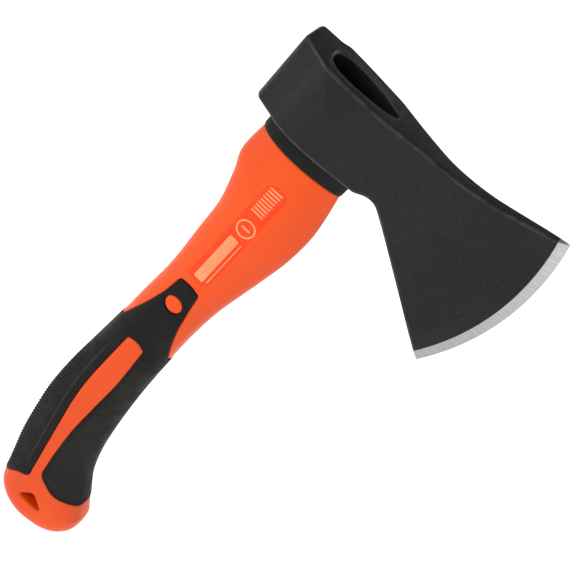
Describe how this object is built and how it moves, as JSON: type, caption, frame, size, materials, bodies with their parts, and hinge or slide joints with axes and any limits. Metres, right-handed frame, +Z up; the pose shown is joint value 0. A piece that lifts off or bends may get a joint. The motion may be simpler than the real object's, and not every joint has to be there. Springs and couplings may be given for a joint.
{
  "type": "hand axe",
  "caption": "Short forged felling axe with a wide curved bit, a fibreglass-cored plastic handle, a two-material rubber grip and a hang hole in the flared butt.",
  "frame": {"origin": "the middle of the whole axe's box in X and Y, at the lowest point of the butt", "axes": "+Z up the handle from butt to head, +X towards the cutting edge, Y through the thickness; the X-Z plane is the plane of symmetry"},
  "size_m": [0.147, 0.03, 0.3613],
  "materials": {
    "head_steel": "matt black powder coat over forged steel, ground bright along the bevel",
    "resin": "poured black epoxy, dull",
    "collar": "moulded black, satin",
    "core": "pultruded fibreglass",
    "handle_plastic": "moulded orange plastic, satin gloss",
    "grip_rubber": "soft matt rubber with a moulded ribbed and knurled texture",
    "label": "thin translucent film with plain tone-on-tone marks"
  },
  "bodies": {
    "root": {"axe_head": "head_steel", "eye_resin": "resin", "collar": "collar", "fibreglass_core": "core", "handle_shell": "handle_plastic", "rubber_grip": "grip_rubber", "label_film": "label"}
  },
  "joints": []
}
